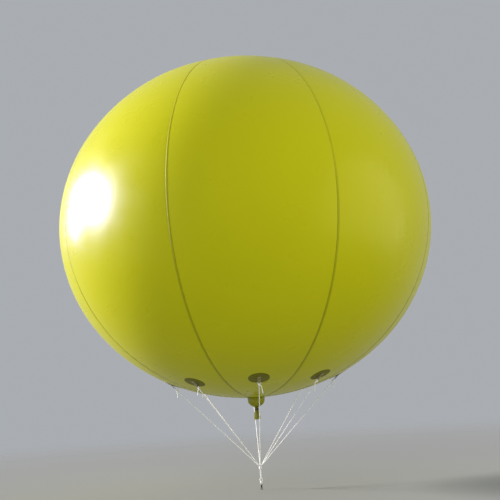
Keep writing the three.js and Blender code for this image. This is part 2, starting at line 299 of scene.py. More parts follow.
class Shape:
    """Collects the closed parts of one piece."""

    def __init__(self):
        self.points = []
        self.flat = []
        self.faces = []
        self.count = 0

    def grid(self, points, flat=None, loop=False):
        """Joins rings of points with quads. The first and last ring are capped, or joined to
        each other if loop. flat has two coordinates for each point, and may have one more
        column, for where a ring closes."""
        rows, columns = points.shape[:2]
        index = np.arange(rows * columns).reshape(rows, columns) + self.count
        index = np.concatenate([index, index[:, :1]], axis=1)
        flat = np.zeros((rows, columns, 2)) if flat is None else flat
        if flat.shape[1] == columns:
            flat = np.concatenate([flat, flat[:, :1]], axis=1)
        if loop:
            index = np.concatenate([index, index[:1]], axis=0)
            flat = np.concatenate([flat, flat[:1]], axis=0)
        for grid, kept in ((index, self.faces), (flat, self.flat)):
            quads = np.stack([grid[:-1, :-1], grid[:-1, 1:], grid[1:, 1:], grid[1:, :-1]], axis=2)
            kept += quads.reshape(-1, *quads.shape[2:]).tolist()
            if not loop:
                kept.append(grid[0, :columns][::-1].tolist())
                kept.append(grid[-1, :columns].tolist())
        self.points.append(points.reshape(-1, 3))
        self.count += rows * columns

    def piece(self, name, surface, slot, nodes=(), body="balloon", sharp=None, turn=0.0):
        """Makes the object. turn moves a piece of the first gore round the axis, and edges
        steeper than sharp, in degrees, aren't smoothed."""
        points = np.concatenate(self.points)
        if turn:
            cos_t, sin_t = math.cos(turn), math.sin(turn)
            points = points @ np.array([[cos_t, sin_t, 0], [-sin_t, cos_t, 0], [0, 0, 1]])
        mesh = bpy.data.meshes.new(name)
        mesh.from_pydata(points.tolist(), [], self.faces)
        layer = mesh.uv_layers.new(name="flat")
        layer.data.foreach_set("uv", np.concatenate(self.flat).ravel())
        shape = bmesh.new()
        shape.from_mesh(mesh)
        bmesh.ops.recalc_face_normals(shape, faces=shape.faces)
        shape.to_mesh(mesh)
        shape.free()
        mesh.shade_smooth()
        if sharp:
            mesh.set_sharp_from_angle(angle=math.radians(sharp))
        mesh.materials.append(surface.material)
        made = bpy.data.objects.new(name, mesh)
        bpy.context.scene.collection.objects.link(made)
        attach(made, body)
        if nodes:
            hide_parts(*nodes)


def unit(vectors):
    return vectors / np.linalg.norm(vectors, axis=-1, keepdims=True)


def smooth_step(share):
    return share * share * (3 - 2 * share)


def distances(path):
    """Length of the path up to each of its points."""
    return np.concatenate([[0], np.cumsum(np.linalg.norm(np.diff(path, axis=0), axis=1))])


def resample(path, step):
    """The same line with points at even steps."""
    path = np.asarray(path, float)
    lengths = distances(path)
    count = max(2, round(lengths[-1] / step) + 1)
    wanted = np.linspace(0, lengths[-1], count)
    return np.stack([np.interp(wanted, lengths, path[:, i]) for i in range(3)], axis=1)


def smooth_curve(points, per_span=12):
    """A Catmull-Rom curve through the points."""
    p = np.asarray(points, float)
    p = np.concatenate([[2 * p[0] - p[1]], p, [2 * p[-1] - p[-2]]])
    t = np.linspace(0, 1, per_span, endpoint=False)[:, None]
    spans = [
        0.5 * (2 * b + (c - a) * t + (2 * a - 5 * b + 4 * c - d) * t**2
               + (3 * b - a - 3 * c + d) * t**3)
        for a, b, c, d in zip(p, p[1:], p[2:], p[3:])
    ]
    return np.concatenate([*spans, p[-2:-1]])


def rings(path, around, reach):
    """A ring of points round each point of a path, in planes that turn as little as possible."""
    tangents = unit(np.gradient(path, axis=0))
    start = np.cross(tangents[0], [0, 0, 1])
    if np.linalg.norm(start) < 0.1:
        start = np.cross(tangents[0], [1, 0, 0])
    sides = [unit(start)]
    for tangent in tangents[1:]:
        side = sides[-1] - tangent * (sides[-1] @ tangent)
        sides.append(unit(side))
    sides = np.array(sides)
    others = np.cross(tangents, sides)
    angle = around[:, None]
    way = sides[:, None] * np.cos(angle) + others[:, None] * np.sin(angle)
    return path[:, None] + way * reach[..., None]


BRAID_STRANDS = 4
BRAID_PITCH = 0.0068
BRAID_RELIEF = 0.2
STRAND_SLIMNESS = 1.7
CROSSING_RISE = 0.3


def braid_relief(along, around):
    """Relief of a diamond braid from 0 to 1, from strands that cross over and under."""
    turn = around * BRAID_STRANDS / (2 * np.pi)
    first, second = turn - along / BRAID_PITCH, turn + along / BRAID_PITCH
    first_index, second_index = np.round(first), np.round(second)

    def strand(across, wave):
        rounded = np.sqrt(np.clip(1 - (STRAND_SLIMNESS * across) ** 2, 0, 1))
        return rounded * (1 - CROSSING_RISE) + CROSSING_RISE * wave

    over = strand(first - first_index, np.cos(np.pi * (second + first_index)))
    under = strand(second - second_index, -np.cos(np.pi * (first + second_index)))
    return np.clip(np.maximum(over, under), 0, 1)


def cord(shape, path, radius=CORD_RADIUS, sides=16, thickness=((0, 1), (1, 1))):
    """Adds a braided cord along a path. thickness scales the radius at shares of the length.
    Its flat coordinates are turns round it and the length of a 6 mm cord with its braid."""
    path = resample(path, BRAID_PITCH / 4 * radius / CORD_RADIUS)
    along = distances(path)
    length = along[:, None] * CORD_RADIUS / radius
    around = np.linspace(0, 2 * np.pi, sides, endpoint=False)
    height = braid_relief(length, around)
    shares, scales = zip(*thickness)
    reach = radius * (1 - BRAID_RELIEF + BRAID_RELIEF * height)
    reach = reach * np.interp(along / along[-1], shares, scales)[:, None]
    turn = np.linspace(0, 1, sides + 1)
    flat = np.stack([turn + 0 * length, length + 0 * turn], axis=-1)
    shape.grid(rings(path, around, reach), flat)


COIL_POINTS = 28
COIL_START = (0.3, 0.8, 0.52)


def coil(centre, axis, radius, pitch, turns, start=0.0, flare=0.0):
    """Points of a helix about an axis through centre; flare widens its middle."""
    axis = unit(np.asarray(axis, float))
    side = unit(np.cross(axis, COIL_START))
    other = np.cross(axis, side)
    t = np.linspace(0, 1, int(turns * COIL_POINTS) + 1)[:, None]
    angle = start + 2 * np.pi * turns * t
    reach = radius + flare * np.sin(np.pi * t)
    along = (t - 0.5) * turns * pitch
    way = side * np.cos(angle) + other * np.sin(angle)
    return np.asarray(centre) + axis * along + way * reach


def about_axis(radius, angle, height):
    return np.stack([radius * np.cos(angle), radius * np.sin(angle), height + 0 * angle], axis=-1)


def turned(shape, profile, segments, centre=(0, 0, 0), axis="Z", loop=False):
    """Adds a solid of revolution from [radius, height] pairs, or a ring if loop."""
    profile = np.asarray(profile, float)
    around = np.linspace(0, 2 * np.pi, segments, endpoint=False)
    points = about_axis(profile[:, :1], around, profile[:, 1:])
    if axis == "Y":
        points = points[..., [0, 2, 1]]
    shape.grid(points + np.asarray(centre, float), loop=loop)


# Envelope surface


def on_film(polar, azimuth, lift=0.0):
    """Points on the film: polar angle from the bottom pole, azimuth from -Y towards +X."""
    polar, azimuth, lift = np.broadcast_arrays(polar, azimuth, lift)
    turn = np.round(azimuth / GORE_ANGLE) * GORE_ANGLE
    across = (azimuth - turn) / (GORE_ANGLE / 2)
    bulge = GORE_BULGE * (1 - across**2) * np.sin(polar)
    direction = np.stack(
        [np.sin(polar) * np.sin(azimuth), -np.sin(polar) * np.cos(azimuth), -np.cos(polar)],
        axis=-1,
    )
    outwards = unit(direction / ENVELOPE_SIZE)
    return direction * ENVELOPE_SIZE + outwards * (bulge + lift)[..., None]


def polar_at(radius):
    """Polar angle at a distance from the axis, near the bottom pole."""
    return math.asin(radius / EQUATOR_RADIUS)


def meridian_length(polar):
    """Distance along a meridian from the bottom pole."""
    fine = np.linspace(0, np.pi, 2000)
    speed = np.hypot(EQUATOR_RADIUS * np.cos(fine), POLE_HEIGHT * np.sin(fine))
    total = np.concatenate([[0], np.cumsum((speed[1:] + speed[:-1]) / 2 * np.diff(fine))])
    return np.interp(polar, fine, total)


FILM_ROW_COUNT = 421
HOLE_ANGLE = polar_at(POLE_HOLE_RADIUS)
FILM_ROWS = np.linspace(HOLE_ANGLE, np.pi - HOLE_ANGLE, FILM_ROW_COUNT)
FILM_ALONG = meridian_length(FILM_ROWS)

# Six waves a seam, as wavelength, phase and height, and nine swells in any direction
PUCKER_WAVES = rng.uniform([0.045, 0, 0.5], [0.13, 2 * np.pi, 1.0], (GORE_COUNT, 6, 3))
PUCKER_TOTAL = 2.2
SWELL_WAVES = rng.normal(0, 1, (9, 3)) * 6.0
SWELL_PHASES = rng.uniform(0, 2 * np.pi, 9)

# Heights of the relief, and how far each reaches from the seam or the pole
GROOVE_DEPTH, GROOVE_REACH = 0.0005, 0.011
RIPPLE_HEIGHT, RIPPLE_REACH = 0.0007, 0.05
GATHER_HEIGHT, GATHER_REACH, GATHER_COUNT = 0.0007, 0.2, 48
SWELL_HEIGHT = 0.00012


def puckers(seam, along):
    """Small waves of the film along a seam, from -1 to 1; seam k lies after gore k."""
    waves = PUCKER_WAVES[seam % GORE_COUNT]
    return sum(a * np.sin(2 * np.pi * along / w + p) for w, p, a in waves) / PUCKER_TOTAL


def film_relief(points, polar, distance, seam):
    """How far the film stands off its ideal surface, by its distance from the seam."""
    groove = -GROOVE_DEPTH * np.exp(-((distance / GROOVE_REACH) ** 2))
    ripple = RIPPLE_HEIGHT * puckers(seam, meridian_length(polar))
    ripple = ripple * np.exp(-distance / RIPPLE_REACH)
    radius = EQUATOR_RADIUS * np.sin(polar)
    azimuth = np.arctan2(points[..., 0], -points[..., 1])
    gathers = GATHER_HEIGHT * np.cos(GATHER_COUNT * azimuth + 2.0 * np.sin(3 * azimuth))
    gathers = gathers * np.exp(-((radius / GATHER_REACH) ** 2))
    swell = sum(np.sin(points @ k + p) for k, p in zip(SWELL_WAVES, SWELL_PHASES))
    return groove + ripple + gathers + swell * SWELL_HEIGHT


# Distances of a gore's columns from its seam, then even columns to the middle
EDGE_COLUMNS = np.array([0.00015, 0.007, 0.009, 0.012, 0.017, 0.025, 0.038, 0.056, 0.08, 0.11])
EDGE_FULL_WIDTH = 0.22
MIDDLE_COLUMNS = 9
INNER_COLUMNS = 9
FILM_DEPTH = 0.004
FAR_FROM_SEAM = 0.3


def gore_columns(half_width):
    """Distances from the middle line, from one seam to the other, for one row."""
    scale = min(1.0, half_width / EDGE_FULL_WIDTH)
    edge = EDGE_COLUMNS * scale
    edge[0] = EDGE_COLUMNS[0]
    outer = half_width - edge
    middle = np.linspace(outer[-1], -outer[-1], 2 * MIDDLE_COLUMNS + 1)[1:-1]
    return np.concatenate([outer, middle, -outer[::-1]])[::-1]


def gore(number):
    """One panel with its thickness. Each half follows the puckers of its own seam, and the
    halves meet in the middle, where the puckers have died away. Its flat coordinates are the
    distances from the seam and from the bottom pole."""
    radius = EQUATOR_RADIUS * np.sin(FILM_ROWS)
    offsets = np.stack([gore_columns(r * GORE_ANGLE / 2) for r in radius])
    azimuth = GORE_ANGLE * (number - 1) + offsets / radius[:, None]
    polar = np.broadcast_to(FILM_ROWS[:, None], azimuth.shape)
    distance = radius[:, None] * GORE_ANGLE / 2 - np.abs(offsets)
    ideal = on_film(polar, azimuth)
    before, after = (film_relief(ideal, polar, distance, k) for k in (number - 1, number))
    outer = on_film(polar, azimuth, np.where(offsets > 0, after, before))
    inner_azimuth = np.linspace(azimuth[:, -1], azimuth[:, 0], INNER_COLUMNS, axis=1)
    inner = on_film(FILM_ROWS[:, None], inner_azimuth, -FILM_DEPTH)
    along = np.broadcast_to(FILM_ALONG[:, None], distance.shape)
    flat_outer = np.stack([distance, along], axis=-1)
    flat_inner = np.zeros((*inner.shape[:2], 2)) + [FAR_FROM_SEAM, 0]
    shape = Shape()
    shape.grid(
        np.concatenate([outer, inner], axis=1),
        np.concatenate([flat_outer, flat_inner], axis=1),
    )
    return shape


# Section of a seam strip in millimetres: across the seam, and height over the film
SEAM_SECTION = np.array([
    [-7.0, -1.2], [-6.8, 0.0], [-5.4, 0.75], [-2.6, 1.2], [0.0, 1.35],
    [2.6, 1.2], [5.4, 0.75], [6.8, 0.0], [7.0, -1.2], [3.0, -1.6], [-3.0, -1.6],
]) / 1000
SEAM_WANDER = 0.0006
SEAM_WAVE = 0.00025


def seam_strip(number):
    """The welded strip after gore number. It has the seam's waves, and a slight wander that
    borrows the waves of another seam."""
    first = polar_at(FLANGE_RADIUS + SEAM_END_GAP)
    last = np.pi - polar_at(TOP_CAP_RADIUS + SEAM_END_GAP)
    rows = np.linspace(first, last, FILM_ROW_COUNT)
    along = meridian_length(rows)
    wander = SEAM_WANDER * puckers(number + 3, along * 0.6)[:, None]
    across = SEAM_SECTION[:, 0] + wander
    middle = GORE_ANGLE * (number - 0.5)
    azimuth = middle + across / (EQUATOR_RADIUS * np.sin(rows))[:, None]
    lift = SEAM_SECTION[:, 1] + SEAM_WAVE * puckers(number, along)[:, None]
    normal = on_film(rows, middle, 1.0) - on_film(rows, middle)
    points = on_film(rows[:, None], azimuth) + normal[:, None] * lift[..., None]
    flat = np.stack(np.broadcast_arrays(SEAM_SECTION[:, 0], along[:, None]), axis=-1)
    shape = Shape()
    shape.grid(points, flat)
    return shape


# Sheets laid on the film, in the frame of the first gore


def touching_frame(polar, lift):
    """Origin on the film, then directions across the gore, up the gore and outwards."""
    origin = on_film(polar, 0.0, lift)
    outwards = unit(on_film(polar, 0.0, 1.0) - on_film(polar, 0.0, 0.0))
    across = np.array([1.0, 0.0, 0.0])
    return origin, across, np.cross(outwards, across), outwards


def drape(x, y, lift, polar):
    """Film points under flat coordinates, as if a flat sheet were pressed on the film."""
    origin, across, along, outwards = touching_frame(polar, 0.0)
    start = (origin + x[..., None] * across + y[..., None] * along) / ENVELOPE_SIZE
    way = outwards / ENVELOPE_SIZE
    half = start @ way / (way @ way)
    rest = ((start**2).sum(-1) - 1) / (way @ way)
    foot = start - (half - np.sqrt(half**2 - rest))[..., None] * way
    return on_film(
        np.arctan2(np.hypot(foot[..., 0], foot[..., 1]), -foot[..., 2]),
        np.arctan2(foot[..., 0], -foot[..., 1]),
        lift,
    )


def sheet_disc(polar, profile, segments=72):
    """A round sheet from [radius, height above the film] pairs in millimetres."""
    profile = np.asarray(profile, float) / 1000
    around = np.linspace(0, 2 * np.pi, segments, endpoint=False)
    x = profile[:, :1] * np.cos(around)
    y = profile[:, :1] * np.sin(around)
    shape = Shape()
    shape.grid(drape(x, y, profile[:, 1:] + 0 * x, polar), np.stack([x, y], axis=-1))
    return shape


WELD_COUNT = 4
WELD_DEPTH = 0.35


def weld_rings(first, last, top):
    """Profile rows of concentric welded grooves between two radii."""
    pitch = (last - first) / WELD_COUNT
    rows = []
    for i in range(WELD_COUNT):
        start = first + i * pitch
        rows += [
            (start, top), (start + 0.15 * pitch, top - WELD_DEPTH),
            (start + 0.5 * pitch, top - WELD_DEPTH), (start + 0.65 * pitch, top),
        ]
    return rows


# Each round sheet has a second, smaller layer in its middle
PATCH_PROFILE = [
    (0.8, 3.5), (20, 3.5), (40, 3.5), (41.3, 3.3), (42, 2.7), (42.4, 2.3), (52, 2.3), (61, 2.3),
    *weld_rings(63, 77, 2.3), (77, 2.3), (79, 2.1), (79.8, 1.5), (80, 0.6), (80, -1.0),
    (0.8, -1.0),
]
TOP_CAP_PROFILE = [
    (0.8, 3.3), (20, 3.3), (45, 3.3), (68, 3.3), (69.4, 3.1), (70, 2.6), (70.4, 2.2), (90, 2.2),
    (110, 2.2), (128, 2.2), *weld_rings(131, 146, 2.2), (146, 2.2), (148.6, 2.0),
    (149.7, 1.4), (150, 0.6), (150, -1.0), (0.8, -1.0),
]
FLANGE_PROFILE = [
    (0.8, 4.3), (40, 4.3), (58, 4.3), (67, 4.2), (69.5, 3.8), (70.2, 3.2), (72, 3.1),
    (73.3, 2.7), (74, 1.9), (74, -1.0), (0.8, -1.0),
]


# Load patch tab, in millimetres: a strap sewn down at both ends and folded round the line's loop

TAB_ORIGIN, TAB_ACROSS, TAB_ALONG, TAB_OUT = touching_frame(PATCH_ANGLE, PATCH_TOP)
PULL = unit(np.array([0, 0, FOCUS_Z]) - TAB_ORIGIN)
LIFT_OFF = np.cross(TAB_ACROSS, PULL) * np.sign(np.cross(TAB_ACROSS, PULL) @ TAB_OUT)
STRAP_THICKNESS = 1.5
STRAP_WIDTH = 28.0
STRAP_TIP_WIDTH = 16.0
STRAP_STEP = 0.0013
STRAP_COLUMNS = 15
STRAP_EDGE = 0.45
TAB_EYE = 40.5
TAB_EYE_BEND = 3.9

# Middle line of the strap: up the gore and off the patch, or along the pull and off it
STRAP_REAR = [(27, 0.85), (19, 0.85), (12, 0.95), (6, 2.0), (0, 3.9)]
STRAP_UPPER = [(12, 1.7), (22, 1.8), (31, 2.6), (36.5, 3.5)]
STRAP_LOWER = [(36.5, -3.5), (31, -2.4), (22, -1.1), (12, -0.5)]
STRAP_FRONT = [
    (-6.2, 2.7), (-3.7, 2.3), (-3.1, 1.6), (-4.0, 0.95), (-9, 0.85), (-17, 0.85), (-27, 0.85),
]

# The strap narrows towards its eye, from these distances along the pull and off the patch
NARROWS_ALONG, NARROWS_OFF = 10, 1.6
STRAP_RIPPLE = 0.55
STRAP_WAVES = 3.5


def on_tab(x, along, out):
    """A point from millimetres across the gore, up the gore and off the patch."""
    return TAB_ORIGIN + (x * TAB_ACROSS + along * TAB_ALONG + out * TAB_OUT) / 1000


def on_pull(pull, x=0.0, lift=0.0):
    """A point from millimetres along the line's pull, across it and off it."""
    return TAB_ORIGIN + (pull * PULL + x * TAB_ACROSS + lift * LIFT_OFF) / 1000


def strap_path():
    rear, front = ([on_tab(0, y, z) for y, z in rows] for rows in (STRAP_REAR, STRAP_FRONT))
    upper, lower = ([on_pull(s, 0, h) for s, h in rows] for rows in (STRAP_UPPER, STRAP_LOWER))
    bend = np.linspace(math.pi / 2, -math.pi / 2, 7)
    eye = [
        on_pull(TAB_EYE + TAB_EYE_BEND * math.cos(a), 0, TAB_EYE_BEND * math.sin(a)) for a in bend
    ]
    return smooth_curve([*rear, *upper, *eye, *lower, *front], 5)


def patch_tab():
    """The strap. Its flat coordinates are metres across and along it."""
    path = resample(strap_path(), STRAP_STEP)
    normals = np.cross(TAB_ACROSS, unit(np.gradient(path, axis=0)))
    pulled = (path - TAB_ORIGIN) @ PULL * 1000
    off = (path - TAB_ORIGIN) @ TAB_OUT * 1000
    towards_eye = np.clip((pulled - NARROWS_ALONG) / (TAB_EYE - NARROWS_ALONG - 2), 0, 1)
    gather = smooth_step(towards_eye * np.clip((off - NARROWS_OFF) / 1.5, 0, 1))
    width = STRAP_WIDTH + (STRAP_TIP_WIDTH - STRAP_WIDTH) * gather
    share = np.linspace(-1, 1, STRAP_COLUMNS)
    edge = np.where(np.abs(share) > 0.99, STRAP_EDGE, 1.0)
    across = np.concatenate([share, share[::-1]])
    height = np.concatenate([edge, -edge]) * STRAP_THICKNESS / 2
    ripple = STRAP_RIPPLE * gather[:, None] * np.cos(STRAP_WAVES * np.pi * across)
    x = across * width[:, None] / 2
    points = (
        path[:, None]
        + TAB_ACROSS * x[..., None] / 1000
        + normals[:, None] * ((height + ripple) / 1000)[..., None]
    )
    length = np.linspace(0, 1, len(path))[:, None] * len(path) * STRAP_STEP
    shape = Shape()
    shape.grid(points, np.stack([x / 1000, length + 0 * x], axis=-1))
    return shape


STITCH_PITCH = 0.0033
STITCH_HALF_SHARE = 0.36
THREAD_RADIUS = 0.00042
THREAD_ENDS = np.array([0.4, 1, 1, 0.4])
THREAD_SIDES = 6

# Boxes of stitches up the gore, and rows of them along the pull, in millimetres
STITCH_BOXES = ((14, 25), (-25, -11))
BOX_HALF_WIDTH = 11
STITCH_ROWS = (14.5, 17.5)
ROW_HALF_WIDTH = 11.5
STRAP_TOP = STRAP_THICKNESS + 0.2
ROW_TOP = 1.8 + STRAP_THICKNESS / 2


def stitch_row(shape, first, last, out):
    """Short raised stitches from one point to another, seen from the direction out."""
    way = last - first
    length = np.linalg.norm(way)
    count = max(1, int(length / STITCH_PITCH))
    half = way / length * STITCH_PITCH * STITCH_HALF_SHARE
    rise = out * THREAD_RADIUS / 2
    around = np.linspace(0, 2 * np.pi, THREAD_SIDES, endpoint=False)
    reach = THREAD_RADIUS * THREAD_ENDS[:, None]
    for i in range(count):
        middle = first + way * (i + 0.5) / count
        top = middle + rise
        path = np.array([middle - half, top - half / 2, top + half / 2, middle + half])
        shape.grid(rings(path, around, reach))


def tab_stitching():
    shape = Shape()
    side = BOX_HALF_WIDTH
    for low, high in STITCH_BOXES:
        places = ((-side, low), (side, low), (side, high), (-side, high))
        corners = [on_tab(x, y, STRAP_TOP) for x, y in places]
        for a, b in zip(corners, corners[1:] + corners[:1]):
            stitch_row(shape, a, b, TAB_OUT)
        stitch_row(shape, corners[0], corners[2], TAB_OUT)
        stitch_row(shape, corners[1], corners[3], TAB_OUT)
    for s in STITCH_ROWS:
        ends = [on_pull(s, x, ROW_TOP) for x in (-ROW_HALF_WIDTH, ROW_HALF_WIDTH)]
        stitch_row(shape, *ends, LIFT_OFF)
    return shape


# Bridle line: a loop through the tab, a knot with a loose end, and the taut line. The knot's
# middle and the line's start are in millimetres along the pull

KNOT_MIDDLE = 60.5
LINE_START = 60.0
KNOT_TURNS = 2.4
WRAP_RADIUS = 0.0061

# Half of the loop, in millimetres along the pull and across it
HALF_LOOP = [
    (61, 1.5), (54, 2.7), (50.5, 6.0), (47, 9.8), (43.5, 11.2), (41.2, 9.0), (40.5, 3.0),
]
LINE_LOOP = HALF_LOOP + [(s, -x) for s, x in reversed(HALF_LOOP)]

# Where a line runs into the bridle's knot: millimetres from the axis, and height in metres.
# It gets thinner there, at these shares of its length, because the knot squeezes it
JUNCTION_ENTRY = [
    (13.5, -1.9082), (10.6, -1.9110), (7.9, -1.9138), (5.9, -1.9172), (5.3, -1.9215),
    (5.2, -1.926),
]
LINE_THICKNESS = [(0, 1), (0.985, 1), (0.995, 0.78), (1, 0.78)]

# Loose ends: length of each, then steps away from the knot and the share of the length they hang
LOOSE_LENGTHS = [0.055, 0.060, 0.045, 0.070, 0.055, 0.065, 0.050, 0.042]
LOOSE_STEPS = [(0.006, 0), (0.010, 0.10), (0.011, 0.4), (0.010, 0.75), (0.011, 1)]
LOOSE_THICKNESS = [(0, 1), (0.97, 1), (0.985, 1.12), (1, 0.8)]
LOOSE_SLOPE = -0.6
LOOSE_SWING = (0.004, 0.010)


def line_knot(number):
    """Path of the wraps and the loose end, which hangs on one side or the other by turns."""
    side = TAB_ACROSS * (1 if number % 2 else -1)
    core = on_pull(KNOT_MIDDLE)
    wraps = coil(core, PULL, WRAP_RADIUS, WRAP_RADIUS, KNOT_TURNS)
    # turn the wraps so that the last one ends on the side where the loose end hangs
    reach = unit(wraps[-1] - core - PULL * ((wraps[-1] - core) @ PULL))
    turn = math.atan2(np.cross(reach, side) @ PULL, reach @ side)
    wraps = coil(core, PULL, WRAP_RADIUS, WRAP_RADIUS, KNOT_TURNS, start=turn)
    away = unit(side + [0, 0, LOOSE_SLOPE])
    down = np.array([0, 0, -LOOSE_LENGTHS[number - 1]]) + side * rng.uniform(*LOOSE_SWING)
    loose = [wraps[-1] + away * step + down * share for step, share in LOOSE_STEPS]
    first = core + (wraps[0] - core) * 0.6
    return smooth_curve([first, *wraps[2::4], *loose], 6)


def bridle_line(number):
    shape = Shape()
    cord(shape, smooth_curve([on_pull(s, x) for s, x in LINE_LOOP], 6))
    entry = [np.array([0, -rho / 1000, z]) for rho, z in JUNCTION_ENTRY]
    straight = np.linspace(on_pull(LINE_START), entry[0], 40)
    line = np.concatenate([straight[:-1], smooth_curve(entry, 6)])
    cord(shape, line, thickness=LINE_THICKNESS)
    cord(shape, line_knot(number), thickness=LOOSE_THICKNESS)
    return shape


# Bridle's lower end

WHIPPING_Z = -1.9246
WHIPPING_RADIUS = 0.0098
WHIPPING_CORD = 0.0025
WHIPPING_PITCH = 0.0049
WHIPPING_TURNS = 4.1


def bridle_knot():
    """Wraps round the lines, with both ends drawn in."""
    shape = Shape()
    wraps = coil(
        (0, 0, WHIPPING_Z), (0, 0, 1), WHIPPING_RADIUS, WHIPPING_PITCH, WHIPPING_TURNS,
        flare=0.0004,
    )
    drawn_in = [0.55, 0.55, 1]
    path = [wraps[0] * drawn_in, *wraps, wraps[-1] * drawn_in]
    cord(shape, path, radius=WHIPPING_CORD)
    return shape


STRAND_TOP, STRAND_BOTTOM = -1.926, -2.0030
STRAND_TURNS = 2
STRAND_TWIST = 0.00305
LOOP_BOTTOM = -2.034
LOOP_OPENING = 0.0072
LOOP_ROUNDNESS = 1.3
LOOP_END = (0.0022, 0.006)


def strand_legs():
    """Two cords laid round each other, which open into a loop above the end knot."""
    shape = Shape()
    for turn in (0, math.pi):
        side = math.cos(turn)
        z = np.linspace(STRAND_TOP, STRAND_BOTTOM, 80)
        share = (z - STRAND_BOTTOM) / (STRAND_TOP - STRAND_BOTTOM)
        laid = about_axis(STRAND_TWIST, turn + 2 * np.pi * STRAND_TURNS * share, z)
        u = np.linspace(0, 1, 40)[1:]
        reach = (STRAND_TWIST + LOOP_OPENING * np.sin(np.pi * u) ** LOOP_ROUNDNESS) * side
        height = STRAND_BOTTOM + (LOOP_BOTTOM - STRAND_BOTTOM) * u
        opened = np.stack([reach, 0 * u, height], axis=1)
        end = [[LOOP_END[0] * side, 0, LOOP_BOTTOM - LOOP_END[1]]]
        cord(shape, np.concatenate([laid, opened, end]))
    return shape


END_KNOT_CORE = np.array([0, 0, -2.0416])
END_KNOT_AXIS = (0.05, 0, 1)
END_KNOT_RADIUS = 0.0064
END_KNOT_PITCH = 0.0058
END_KNOT_TURNS = 2.3
LINK_CENTRE = np.array([0, 0, -2.0532])
LINK_RADIUS = 0.004
LINK_CORD = 0.0015


def end_knot():
    """Wraps with both ends drawn in, and the link of thin cord to the swivel's eye."""
    shape = Shape()
    wraps = coil(
        END_KNOT_CORE, END_KNOT_AXIS, END_KNOT_RADIUS, END_KNOT_PITCH, END_KNOT_TURNS, start=1.0
    )
    ends = [END_KNOT_CORE + (end - END_KNOT_CORE) * 0.5 for end in (wraps[0], wraps[-1])]
    cord(shape, [ends[0], *wraps, ends[1]])
    around = np.linspace(0, 2 * np.pi, 49)[:, None]
    ring = np.sin(around) * [0, 1, 0] + np.cos(around) * [0, 0, 1]
    cord(shape, LINK_CENTRE + LINK_RADIUS * ring, radius=LINK_CORD, sides=12)
    return shape


# Swivel, in millimetres: radius and height, or for the eye's plate radius and thickness

BARREL_PROFILE = np.array([
    (0.3, -2063.7), (3.0, -2063.7), (4.6, -2064.1), (5.4, -2064.7), (5.85, -2065.5),
    (6.0, -2066.4), (6.0, -2068.3), (5.65, -2068.6), (5.65, -2069.2), (6.0, -2069.5),
    (6.0, -2073.3), (5.65, -2073.6), (5.65, -2074.1), (6.0, -2074.4), (6.0, -2075.8),
    (5.7, -2076.3), (5.2, -2076.5), (2.4, -2076.5), (2.4, -2068.5), (0.3, -2068.5),
]) / 1000
STEM_PROFILE = np.array([
    (0.3, -2070.0), (1.7, -2070.0), (2.05, -2070.4), (2.05, -2077.0), (4.5, -2077.0),
    (5.0, -2077.4), (5.0, -2078.6), (4.6, -2079.0), (3.6, -2079.3), (3.1, -2080.0),
    (3.0, -2081.4), (0.3, -2081.4),
]) / 1000
EYE_SECTION = np.array([
    (5.0, -1.2), (5.25, -1.75), (5.8, -2), (8.2, -2), (8.75, -1.75), (9.0, -1.2),
    (9.0, 1.2), (8.75, 1.75), (8.2, 2), (5.8, 2), (5.25, 1.75), (5.0, 1.2),
]) / 1000
BARREL_EYE_RADIUS = 0.0052
BARREL_EYE_WIRE = 0.0018
TURNED_SEGMENTS = 48


def swivel_barrel():
    shape = Shape()
    turned(shape, BARREL_PROFILE, TURNED_SEGMENTS)
    angle = np.linspace(0, 2 * np.pi, 16, endpoint=False)
    wire = BARREL_EYE_WIRE * np.stack([np.cos(angle), np.sin(angle)], axis=1)
    wire += [BARREL_EYE_RADIUS, 0]
    turned(shape, wire, TURNED_SEGMENTS, (0, 0, BARREL_EYE_Z), "Y", loop=True)
    return shape


def tether_eye():
    shape = Shape()
    turned(shape, STEM_PROFILE, TURNED_SEGMENTS)
    turned(shape, EYE_SECTION, 64, (0, 0, TETHER_EYE_Z), "Y", loop=True)
    return shape


# Inflation neck: radius and height below its top in millimetres, and the depth of the pleats
# as a share of the radius

BOWL_LEVELS = [
    (68, -2, 0.004), (68, 0, 0.004), (67, 15, 0.012), (64, 30, 0.03), (57, 42, 0.06),
    (46, 52, 0.11), (32, 61, 0.18), (19, 69, 0.26), (12, 76, 0.33), (12, 90, 0.34),
]
TAIL_LEVELS = [
    (11, 80, 0.30), (12, 92, 0.34), (12, 100, 0.34), (16, 110, 0.34), (20, 130, 0.28),
    (22, 168, 0.26),
]
BOWL_PLEATS = 15
TAIL_FOLDS = 9
TAIL_WALL = 0.00182
TAIL_INSIDE = 0.0004
TAIL_HOLLOW_ROW = 12
TAIL_LENGTH = 0.1682

# How far the pleats stand outside the radius, how they drift with depth, and the tail's hem
BOWL_BIAS, TAIL_BIAS = 0.35, 0.3
BOWL_DRIFT, TAIL_DRIFT = 1.5, 2.0
DRIFT_DEPTH = 0.09
HEM_WAVE, HEM_FOLD = 0.004, 0.002


def level_curve(levels, rows):
    """Depth, radius and pleat depth at even steps down the neck."""
    radii, heights, pleats = smooth_curve(levels, 24).T
    depth = np.linspace(heights[0], heights[-1], rows)
    return (
        depth[:, None] / 1000,
        np.interp(depth, heights, radii)[:, None] / 1000,
        np.interp(depth, heights, pleats)[:, None],
    )


def folded(phi, folds, phase, drift):
    """Rounded ridges and sharp valleys, from -1 to 1, that wander a little round the neck."""
    angle = folds * phi + phase + 0.5 * np.sin(2 * phi + 1.0) + drift
    return 2 * np.abs(np.sin(angle)) ** 0.75 - 1


